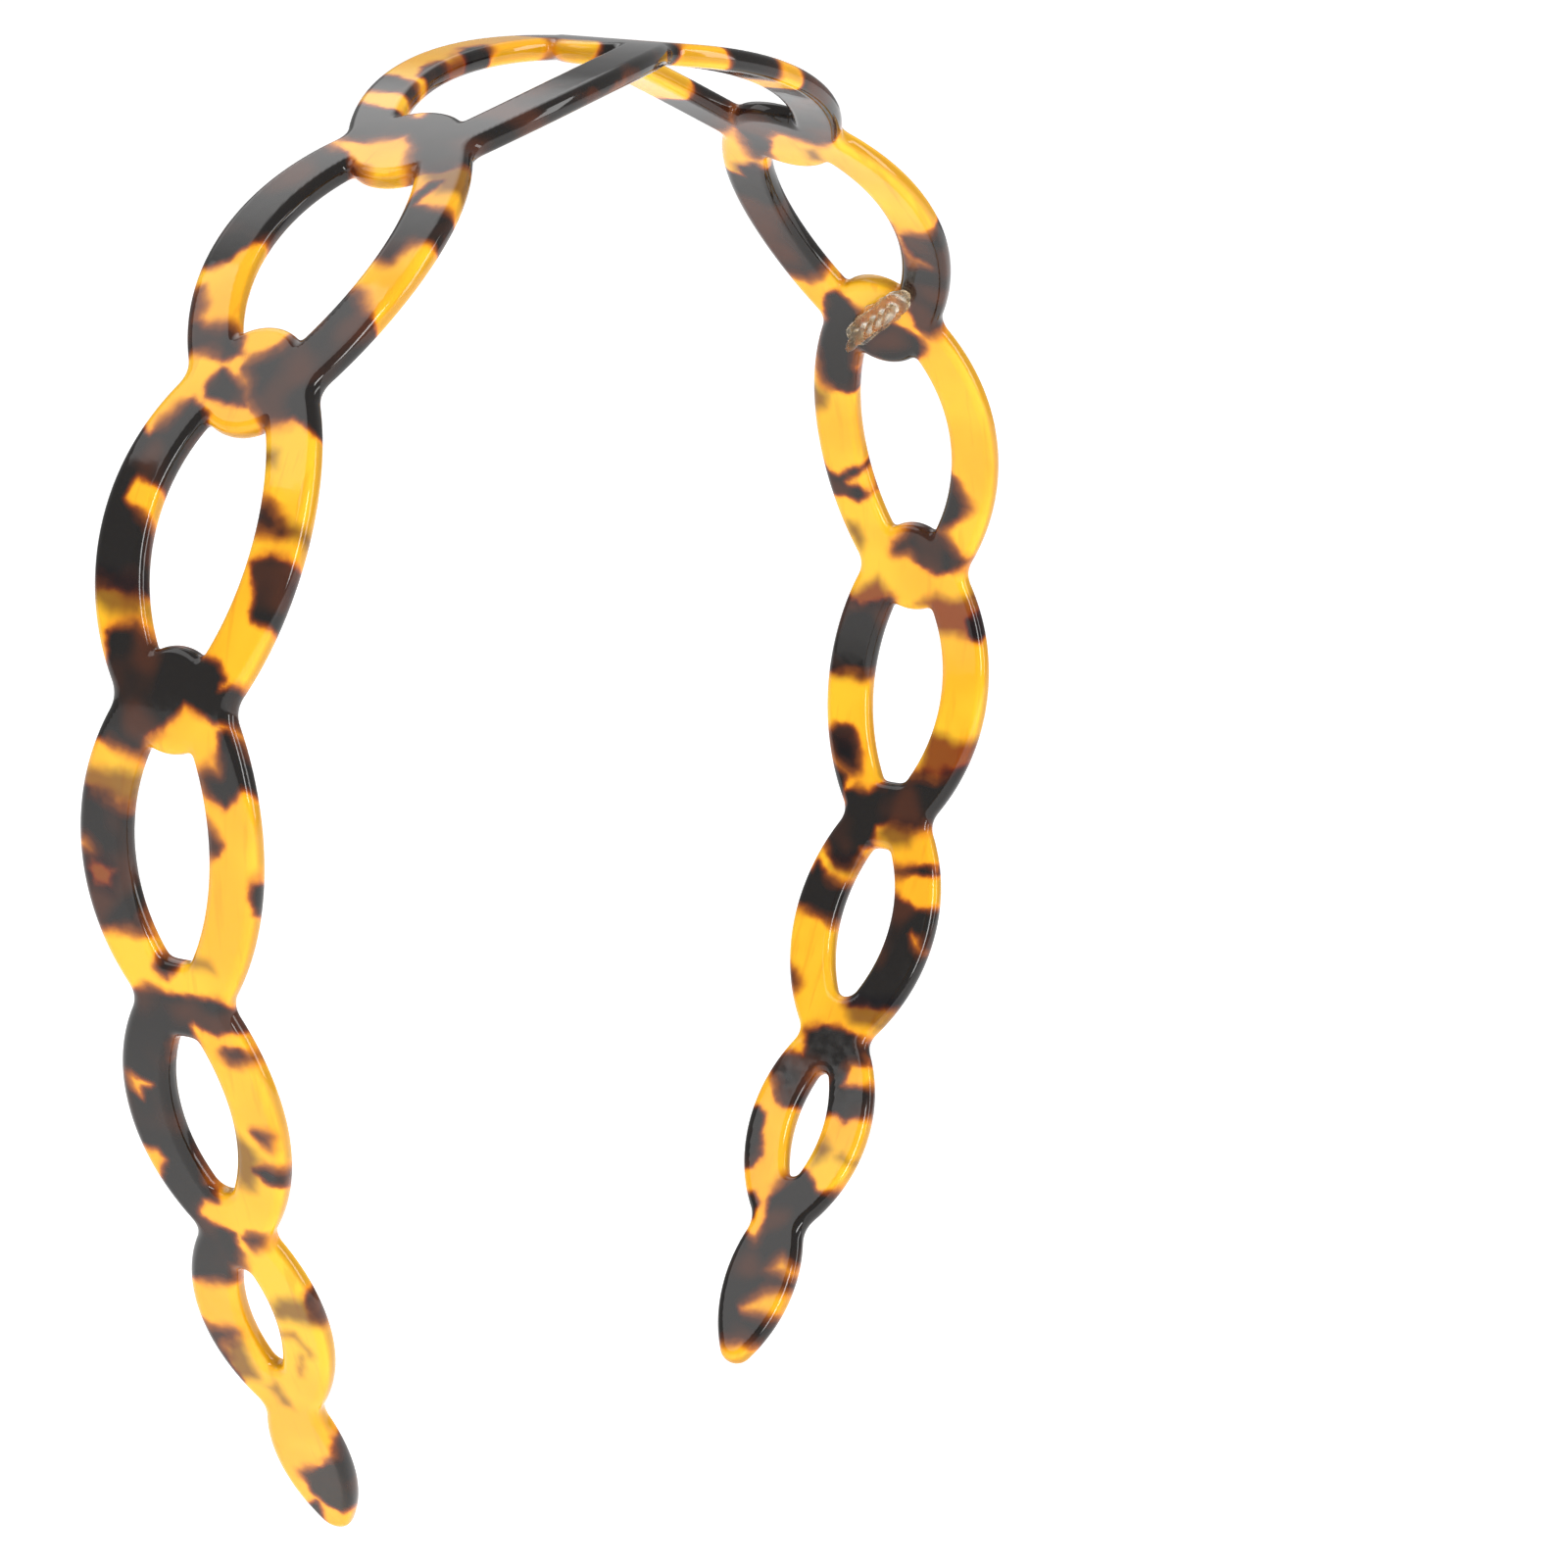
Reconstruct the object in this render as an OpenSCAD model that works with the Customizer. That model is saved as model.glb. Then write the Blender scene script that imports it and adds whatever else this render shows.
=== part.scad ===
// Chain-link headband.
// One sheet is cut as a row of open oval links that run into each other and end in two solid
// paddle tips, and is then bent into an arch. A short clear comb is glued inside each arm.
//
// The origin is the middle of the inner face at the crown. +X runs towards one ear, +Y to the
// back of the head and +Z up. The arch lies in the XZ plane and the sheet's width along Y.
// Every place on an arm is an arc length s, measured from the crown along the middle surface.

/* [Sheet] */
// Thickness of the sheet
sheet_t = 2.3; // [2:0.1:2.8]

/* [Bends] */
// Radius of the crown
crown_r = 74; // [68:1:82]
// Angle from the crown's middle to the shoulder
crown_turn = 42; // [36:1:46]
// Radius of the shoulder, the tightest bend
shoulder_r = 60; // [54:1:66]
// Angle turned by the shoulder
shoulder_turn = 52; // [46:1:56]
// Radius of the side, above the ear
side_r = 85; // [74:1:100]
// Angle turned by the side
side_turn = 18.5; // [14:0.5:24]
// Radius of the lower arm, which is nearly straight
lower_r = 250; // [180:5:400]

/* [Links] */
// Length of links 1 to 4, from the crown
upper_len = [48.8, 43, 40.8, 36.7]; // [34:0.1:52]
// Length of links 5 and 6
lower_len = [31.6, 26.2]; // [25:0.1:34]
// Width of links 1 to 4
upper_w = [23.6, 23.4, 22.2, 19.8]; // [18:0.1:26]
// Width of links 5 and 6
lower_w = [17.4, 14.6]; // [14:0.1:18]
// How far each of links 1 to 4 runs into the one before it
upper_overlap = [12.6, 11.9, 11.3, 9.9]; // [9.5:0.1:13]
// How far links 5 and 6 run into the one before
lower_overlap = [7.4, 5.2]; // [5:0.1:8]
// Width of a link's two side bars at its middle
side_rim = 5.5; // [4.5:0.1:6]
// Length of solid sheet at each end of a link
end_rim = 7.1; // [6:0.1:7.5]
// End radius of an oval, as a share of its half width
end_roundness = 0.46; // [0.4:0.01:0.6]

/* [Paddle tips] */
// Length of a tip
tip_len = 19.8; // [17:0.1:23]
// Width of a tip
tip_w = 8.4; // [7:0.1:10]
// How far a tip runs into the last link
tip_overlap = 5; // [4.5:0.1:6]

/* [Combs] */
// Arc length from the crown to the middle of a comb
comb_s = 66.3; // [60:0.1:74]
// Distance from the arm's middle line to the middle of a comb, positive to the back
comb_v = -0.9; // [-2:0.1:2]
// Angle of a comb from the arm's length
comb_turn = 50; // [40:1:90]
// Length of the comb's strip
strip_len = 11; // [10.6:0.2:13]
// Width of the comb's strip
strip_w = 2.8; // [2.4:0.1:3.6]
// Thickness of the comb's strip
strip_t = 1; // [0.8:0.1:1.4]
// Number of teeth
tooth_count = 5; // [3:1:5]
// Distance between teeth
tooth_pitch = 1.8; // [1.6:0.05:2.1]
// Length of a tooth
tooth_len = 3; // [2.2:0.1:3.8]
// Diameter of a tooth at its root
tooth_root = 1.4; // [1.1:0.1:1.6]

/* [Adhesive] */
// Thickness of the adhesive under a comb
glue_t = 0.3; // [0.2:0.1:0.5]
// Length of the adhesive patch
glue_len = 12.2; // [11.8:0.2:15]
// Width of the adhesive patch
glue_w = 4; // [3.6:0.2:6]

/* [Hidden] */

link_len = concat(upper_len, lower_len, tip_len);
link_w = concat(upper_w, lower_w, tip_w);
overlap = concat(upper_overlap, lower_overlap, tip_overlap);
paddle = len(link_len) - 1;

// Arc length from the crown to a link's middle
function link_s(k) = k == 0
    ? (link_len[0] - overlap[0]) / 2
    : link_s(k - 1) + (link_len[k - 1] + link_len[k]) / 2 - overlap[k];

arm_len = link_s(paddle) + link_len[paddle] / 2;

// The four bends: where each starts, as an arc length and as an angle from the crown
bend_r = [crown_r, shoulder_r, side_r, lower_r];
turns = [crown_turn, shoulder_turn, side_turn];
function arc_len(r, turn) = r * turn * PI / 180;
function start_s(i) = i == 0 ? 0 : start_s(i - 1) + arc_len(bend_r[i - 1], turns[i - 1]);
function start_turn(i) = i == 0 ? 0 : start_turn(i - 1) + turns[i - 1];
bend_s = [for (i = [0:3]) start_s(i)];
bend_turn = [for (i = [0:3]) start_turn(i)];
// Directions in the XZ plane at an angle from the crown
function normal(turn) = [sin(turn), cos(turn)];
function tangent(turn) = [cos(turn), -sin(turn)];

// Centres of the bends: each bend starts in line with the one before
function bend_centre(i) = i == 0
    ? [0, sheet_t / 2 - crown_r]
    : bend_centre(i - 1) + (bend_r[i - 1] - bend_r[i]) * normal(bend_turn[i]);
centres = [for (i = [0:3]) bend_centre(i)];

// Middle surface at arc length s
function bend_at(s) = s < bend_s[1] ? 0 : s < bend_s[2] ? 1 : s < bend_s[3] ? 2 : 3;
function turn_at(s) = let (i = bend_at(s)) bend_turn[i] + (s - bend_s[i]) / bend_r[i] * 180 / PI;
function point_at(s) = let (i = bend_at(s)) centres[i] + bend_r[i] * normal(turn_at(s));
// Distance along the tangent at s to the point that lies d further along the arm
function reach(s, d) = (point_at(s + d) - point_at(s)) * tangent(turn_at(s));

// A four-arc oval of half length a and half width b
outline_points = 48;
function oval_point(a, b, phi) =
    let (
        r = end_roundness * b,
        side_radius = (pow(a - r, 2) + b * b - r * r) / (2 * (b - r)),
        meet = atan2(side_radius - b, a - r),
        on_end = abs(sin(phi)) < sin(meet),
        radius = on_end ? r : side_radius,
        middle = on_end ? [sign(cos(phi)) * (a - r), 0] : [0, -sign(sin(phi)) * (side_radius - b)]
    )
    middle + radius * [cos(phi), sin(phi)];
function oval(a, b) = [for (i = [0:outline_points - 1]) oval_point(a, b, i * 360 / outline_points)];

// A bar with half-round ends; the half step keeps each end's points on its own side
function rounded_bar(length, width) = [
    for (i = [0:outline_points - 1])
    let (phi = (i + 0.5) * 360 / outline_points)
    [sign(cos(phi)) * (length - width) / 2, 0] + width / 2 * [cos(phi), sin(phi)]
];

// Matrix that turns an outline's points by an angle
function turned(angle) = [[cos(angle), sin(angle)], [-sin(angle), cos(angle)]];

// The bent slab that the links are cut from is larger all round than they are
slab_spare = 2;
slab_w = max(link_w) + slab_spare;
cut_depth = 8;

// The bent sheet's line at a height over its middle surface, from the left tip to the right one
layer_steps = 76;
layer_reach = arm_len + slab_spare;
function at_height(s, height) =
    let (p = point_at(abs(s)) + height * normal(turn_at(abs(s))))
    [s < 0 ? -p[0] : p[0], p[1]];
function layer_line(height) = [
    for (i = [-layer_steps:layer_steps])
    at_height(i * layer_reach / layer_steps, height)
];

// A bent layer between two heights over the middle surface
module layer(from, to) {
    upper_line = layer_line(to);
    lower_line = layer_line(from);
    last = len(lower_line) - 1;
    rotate([90, 0, 0])
    linear_extrude(slab_w, center = true)
    polygon(concat(upper_line, [for (i = [0:last]) lower_line[last - i]]));
}

// Places children on the right arm's middle surface, x along the arm and z outwards
module on_arm(s) {
    place = point_at(s);
    translate([place[0], 0, place[1]])
    rotate([0, turn_at(s), 0])
    children();
}

// An outline as a column through the sheet at s
module column_at(s, outline) {
    on_arm(s)
    translate([0, 0, -cut_depth])
    linear_extrude(2 * cut_depth)
    polygon(outline);
}

// Link k as a column: its full outline less a rim along its sides and at its ends
module link_column(k, side = 0, end = 0) {
    s = link_s(k);
    half = link_len[k] / 2 - end;
    near = reach(s, -half);
    far = reach(s, half);
    shift = (near + far) / 2;
    outline = [for (p = oval((far - near) / 2, link_w[k] / 2 - side)) p + [shift, 0]];
    column_at(s, outline);
}

module both_arms() {
    children();
    mirror([1, 0, 0]) children();
}

// Link k's opening stops where the links on either side run into it
module opening(k) {
    difference() {
        link_column(k, side_rim, end_rim);
        link_column(k + 1);
        if (k == 0)
            mirror([1, 0, 0]) link_column(0);
        else
            link_column(k - 1);
    }
}

module band() {
    color("#c8831d")
    difference() {
        intersection() {
            layer(-sheet_t / 2, sheet_t / 2);
            both_arms() for (k = [0:paddle]) link_column(k);
        }
        both_arms() for (k = [0:paddle - 1]) opening(k);
    }
}

glue_top = -sheet_t / 2;
strip_top = glue_top - glue_t;
strip_face = strip_top - strip_t;

// An outline in the comb's own directions, turned and moved to its place on the sheet
function comb_outline(points) = [for (p = points * turned(comb_turn)) p + [0, comb_v]];

module adhesive() {
    color("#e8c98a")
    intersection() {
        layer(strip_top, glue_top);
        column_at(comb_s, comb_outline(oval(glue_len / 2, glue_w / 2)));
    }
}

// A bullet-shaped tooth, which points down and is rooted in the strip
tooth_steps = 12;
tooth_sides = 32;
module tooth() {
    root_depth = strip_t / 2;
    outline = [
        for (i = [0:tooth_steps])
        let (phi = i * 90 / tooth_steps)
        [tooth_root / 2 * sin(phi), -tooth_len * cos(phi)]
    ];
    rotate_extrude($fn = tooth_sides)
    polygon(concat(outline, [[tooth_root / 2, root_depth], [0, root_depth]]));
}

module comb() {
    color("#e9e6dc") {
        intersection() {
            layer(strip_face, strip_top);
            column_at(comb_s, comb_outline(rounded_bar(strip_len, strip_w)));
        }
        on_arm(comb_s)
        translate([0, comb_v, 0])
        rotate([0, 0, comb_turn])
        for (i = [0:tooth_count - 1])
            translate([(i - (tooth_count - 1) / 2) * tooth_pitch, 0, strip_face])
            tooth();
    }
}

module comb_right() { comb(); }
module comb_left() { mirror([1, 0, 0]) comb(); }
module adhesive_right() { adhesive(); }
module adhesive_left() { mirror([1, 0, 0]) adhesive(); }

band();
comb_left();
comb_right();
adhesive_left();
adhesive_right();
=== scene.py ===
import math

import bpy
import numpy as np
from mathutils import Matrix, Vector


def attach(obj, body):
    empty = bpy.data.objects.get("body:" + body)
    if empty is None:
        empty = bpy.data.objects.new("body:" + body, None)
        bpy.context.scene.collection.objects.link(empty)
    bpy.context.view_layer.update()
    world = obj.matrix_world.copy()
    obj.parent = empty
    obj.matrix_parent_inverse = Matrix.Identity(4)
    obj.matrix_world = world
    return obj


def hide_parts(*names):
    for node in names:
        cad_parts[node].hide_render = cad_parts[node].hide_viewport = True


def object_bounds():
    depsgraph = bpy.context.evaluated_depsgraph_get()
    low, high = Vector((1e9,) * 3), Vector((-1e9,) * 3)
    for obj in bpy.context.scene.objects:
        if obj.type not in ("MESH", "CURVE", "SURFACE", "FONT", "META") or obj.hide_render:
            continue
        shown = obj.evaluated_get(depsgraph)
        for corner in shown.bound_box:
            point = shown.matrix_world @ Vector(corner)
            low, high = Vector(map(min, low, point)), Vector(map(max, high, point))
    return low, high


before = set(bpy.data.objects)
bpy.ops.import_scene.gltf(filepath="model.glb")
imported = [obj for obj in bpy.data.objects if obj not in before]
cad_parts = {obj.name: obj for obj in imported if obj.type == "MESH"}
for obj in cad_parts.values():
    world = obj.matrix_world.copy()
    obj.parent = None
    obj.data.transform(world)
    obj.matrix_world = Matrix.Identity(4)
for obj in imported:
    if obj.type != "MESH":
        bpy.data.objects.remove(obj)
CAD_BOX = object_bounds()
MM = 0.001

# ---------------------------------------------------------------------------------------------
# The sheet's design, in millimetres, as the CAD part has it
# ---------------------------------------------------------------------------------------------
SHEET_T = 2.3
BEND_R = np.array([74.0, 60.0, 85.0, 250.0])
# The first three bends turn this far, and the last one runs on to the tip
SET_TURNS = np.radians([42.0, 52.0, 18.5])
LINK_LEN = [48.8, 43.0, 40.8, 36.7, 31.6, 26.2, 19.8]
LINK_W = [23.6, 23.4, 22.2, 19.8, 17.4, 14.6, 8.4]
OVERLAP = [12.6, 11.9, 11.3, 9.9, 7.4, 5.2, 5.0]
SIDE_RIM = 5.5
END_RIM = 7.1
END_ROUNDNESS = 0.46
# The finished sheet: walls that swell between softened edges, filleted notches, and a hair
# inside the CAD solid
EDGE_R = 0.58
SWELL = 0.4
NOTCH_BLEND = 1.5
CORNER_BLEND = 0.9
SKIN = 0.03

# Middle of each link along the arm, from the crown
LINK_S = [(LINK_LEN[0] - OVERLAP[0]) / 2]
for k in range(1, len(LINK_LEN)):
    LINK_S.append(LINK_S[-1] + (LINK_LEN[k - 1] + LINK_LEN[k]) / 2 - OVERLAP[k])
ARM_LEN = LINK_S[-1] + LINK_LEN[-1] / 2

BEND_TURN = np.concatenate([[0.0], np.cumsum(SET_TURNS)])
BEND_S = np.concatenate([[0.0], np.cumsum(BEND_R[:-1] * SET_TURNS)])
CENTRES = [np.array([0.0, SHEET_T / 2 - BEND_R[0]])]
for i in range(1, len(BEND_R)):
    out = np.array([math.sin(BEND_TURN[i]), math.cos(BEND_TURN[i])])
    CENTRES.append(CENTRES[-1] + (BEND_R[i - 1] - BEND_R[i]) * out)
CENTRES = np.array(CENTRES)


def bend_state(s):
    """Bend radius, angle from the crown and middle-surface point (x, z) at arc lengths s >= 0."""
    i = np.clip(np.searchsorted(BEND_S, s, side="right") - 1, 0, len(BEND_R) - 1)
    turn = BEND_TURN[i] + (s - BEND_S[i]) / BEND_R[i]
    x = CENTRES[i, 0] + BEND_R[i] * np.sin(turn)
    z = CENTRES[i, 1] + BEND_R[i] * np.cos(turn)
    return BEND_R[i], turn, x, z


def bend_points(flat):
    """Flat sheet points (s, v, w) to points in the frame, in metres. s is negative on the left."""
    side = np.where(flat[:, 0] < 0, -1.0, 1.0)
    _, turn, x, z = bend_state(np.abs(flat[:, 0]))
    w = flat[:, 2]
    return MM * np.stack([side * (x + w * np.sin(turn)), flat[:, 1], z + w * np.cos(turn)], axis=1)


def bend_normals(flat, normals):
    """Normals of the flat sheet to normals of the bent one."""
    side = np.where(flat[:, 0] < 0, -1.0, 1.0)
    radius, turn, _, _ = bend_state(np.abs(flat[:, 0]))
    along = side * normals[:, 0] / (1 + flat[:, 2] / radius)
    out = normals[:, 2]
    bent = np.stack([
        side * (along * np.cos(turn) + out * np.sin(turn)),
        normals[:, 1],
        -along * np.sin(turn) + out * np.cos(turn),
    ], axis=1)
    return bent / np.linalg.norm(bent, axis=1, keepdims=True)


# ---------------------------------------------------------------------------------------------
# Signed distances in the flat sheet
# ---------------------------------------------------------------------------------------------
def oval_distance(x, y, a, b):
    """Exact signed distance to a four-arc oval of half length a and half width b."""
    r = END_ROUNDNESS * b
    side_r = ((a - r) ** 2 + b * b - r * r) / (2 * (b - r))
    x, y = np.abs(x), np.abs(y)
    on_side = (y + side_r - b) * (a - r) > x * (side_r - b)
    return np.where(on_side, np.hypot(x, y + side_r - b) - side_r, np.hypot(x - a + r, y) - r)


def blend_min(a, b, k):
    """The smaller distance, with a fillet about k wide where the two are close."""
    h = np.maximum(k - np.abs(a - b), 0.0) / k
    return np.minimum(a, b) - h * h * k / 4


def blend_max(a, b, k):
    return -blend_min(-a, -b, k)


def signed_links():
    """Every link as (middle s, half length, half width), from the left tip to the right tip."""
    right = [(LINK_S[k], LINK_LEN[k] / 2, LINK_W[k] / 2) for k in range(len(LINK_LEN))]
    return [(-s, a, b) for s, a, b in reversed(right)] + right


def outline_distance(s, v):
    """Signed distance to the flat band's outline, openings included."""
    links = signed_links()
    outer = [oval_distance(s - mid, v, a, b) for mid, a, b in links]
    solid = outer[0]
    for d in outer[1:]:
        solid = blend_min(solid, d, NOTCH_BLEND)
    for k in range(1, len(links) - 1):
        mid, a, b = links[k]
        hole = oval_distance(s - mid, v, a - END_RIM, b - SIDE_RIM)
        hole = blend_max(hole, -outer[k - 1], CORNER_BLEND)
        hole = blend_max(hole, -outer[k + 1], CORNER_BLEND)
        solid = np.maximum(solid, -hole)
    return solid


def plate_distance(flat, outline, half_t, edge_r, swell=0.0):
    """Signed distance to a plate of that outline with rounded edges and swelling walls."""
    drawn_in = swell * np.minimum((flat[..., 2] / half_t) ** 2, 1)
    across = outline(flat[..., 0], flat[..., 1]) + SKIN + drawn_in + edge_r
    through = np.abs(flat[..., 2]) - half_t + edge_r
    outside = np.hypot(np.maximum(across, 0), np.maximum(through, 0))
    return np.minimum(np.maximum(across, through), 0) + outside - edge_r


def gradient(field, p, step=0.02):
    """Slope of a field at each point, by central differences."""
    g = np.empty_like(p)
    for axis in range(3):
        d = np.zeros(3)
        d[axis] = step
        g[:, axis] = (field(p + d) - field(p - d)) / (2 * step)
    return g


NET_STEPS = 6
NET_REACH = 0.75  # how far a point may leave its cell's middle, in cells


def surface_net(field, low, high, cell):
    """Quads on the zero surface of a field: one point per crossed cell, moved onto the surface."""
    counts = np.ceil((np.array(high) - low) / cell).astype(int) + 1
    axes = [low[i] + cell[i] * np.arange(counts[i]) for i in range(3)]
    values = np.empty(counts)
    for i, s in enumerate(axes[0]):
        v, w = np.meshgrid(axes[1], axes[2], indexing="ij")
        values[i] = field(np.stack([np.full_like(v, s), v, w], axis=-1))
    inside = values < 0
    corners = [inside[i:counts[0] - 1 + i, j:counts[1] - 1 + j, k:counts[2] - 1 + k]
               for i in (0, 1) for j in (0, 1) for k in (0, 1)]
    total = sum(c.astype(np.int8) for c in corners)
    crossed = (total > 0) & (total < 8)
    index = np.full(crossed.shape, -1)
    index[crossed] = np.arange(crossed.sum())
    cells = np.argwhere(crossed)
    points = np.array(low) + (cells + 0.5) * np.array(cell)
    limit = NET_REACH * np.array(cell)
    start = points.copy()
    for _ in range(NET_STEPS):
        g = gradient(field, points)
        move = field(points)[:, None] * g / np.maximum((g * g).sum(1, keepdims=True), 1e-6)
        points = start + np.clip(points - move - start, -limit, limit)
    # One quad round every grid edge that crosses the surface
    quads = []
    for axis in range(3):
        b, c = [k for k in range(3) if k != axis]
        first = np.take(inside, np.arange(counts[axis] - 1), axis=axis)
        second = np.take(inside, np.arange(1, counts[axis]), axis=axis)
        edges = np.argwhere(first != second)
        edges = edges[(edges[:, b] > 0) & (edges[:, c] > 0)]
        edges = edges[(edges[:, b] < counts[b] - 1) & (edges[:, c] < counts[c] - 1)]
        ring = []
        for db, dc in ((1, 1), (0, 1), (0, 0), (1, 0)):
            at = edges.copy()
            at[:, b] -= db
            at[:, c] -= dc
            ring.append(index[at[:, 0], at[:, 1], at[:, 2]])
        ring = np.stack(ring, axis=1)
        flip = first[edges[:, 0], edges[:, 1], edges[:, 2]]
        if axis == 1:
            flip = ~flip
        ring[~flip] = ring[~flip][:, ::-1]
        quads.append(ring)
    return points, np.concatenate(quads)


# ---------------------------------------------------------------------------------------------
# Meshes
# ---------------------------------------------------------------------------------------------
def mesh_object(name, points, faces, normals=None):
    """A smooth mesh of equal-sided faces, with its normals given or left to Blender."""
    mesh = bpy.data.meshes.new(name)
    mesh.vertices.add(len(points))
    mesh.vertices.foreach_set("co", np.ascontiguousarray(points, np.float32).ravel())
    sides = faces.shape[1]
    mesh.loops.add(faces.size)
    mesh.loops.foreach_set("vertex_index", faces.astype(np.int32).ravel())
    mesh.polygons.add(len(faces))
    mesh.polygons.foreach_set("loop_start", np.arange(0, faces.size, sides, dtype=np.int32))
    mesh.polygons.foreach_set("use_smooth", np.ones(len(faces), bool))
    mesh.update(calc_edges=True)
    mesh.validate()
    if normals is not None:
        mesh.normals_split_custom_set_from_vertices(normals.astype(np.float32))
    obj = bpy.data.objects.new(name, mesh)
    bpy.context.scene.collection.objects.link(obj)
    return obj


def add_attribute(obj, name, kind, values):
    """One value per mesh point, for the materials to read."""
    layer = obj.data.attributes.new(name, kind, "POINT")
    key = "vector" if kind == "FLOAT_VECTOR" else "value"
    layer.data.foreach_set(key, np.ascontiguousarray(values, np.float32).ravel())


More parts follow.
